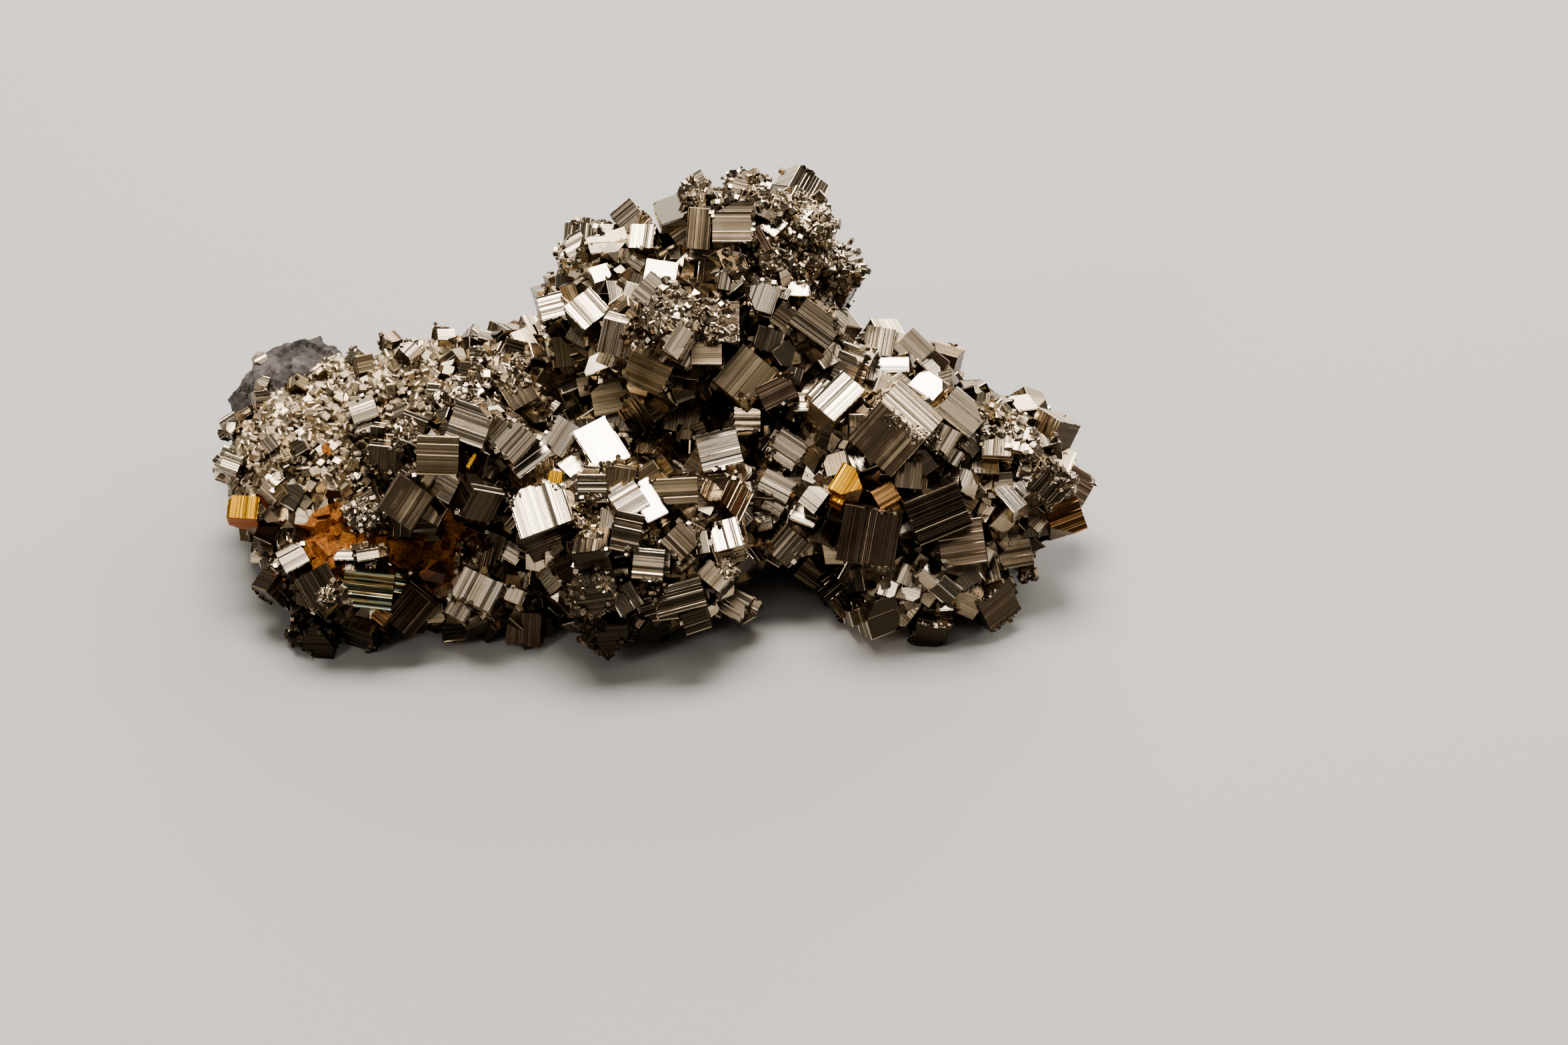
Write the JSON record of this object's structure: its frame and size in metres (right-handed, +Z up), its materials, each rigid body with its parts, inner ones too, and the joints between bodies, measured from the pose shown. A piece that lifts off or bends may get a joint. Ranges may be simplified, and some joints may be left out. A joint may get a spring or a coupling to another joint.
{
  "type": "pyrite specimen",
  "caption": "Cluster of intergrown striated pyrite cubes on a lumpy crust, with a patch of grey host rock. Rests on its underside as a display specimen.",
  "frame": {"origin": "middle of the specimen's footprint on the surface it rests on", "axes": "+X to the right along the longest side, +Y to the back, +Z up"},
  "size_m": [0.0874, 0.044, 0.037],
  "materials": {
    "pyrite": "polished",
    "host_rock": "matte"
  },
  "bodies": {
    "root": {"pyrite_cluster": "pyrite", "host_rock": "host_rock"}
  },
  "joints": []
}
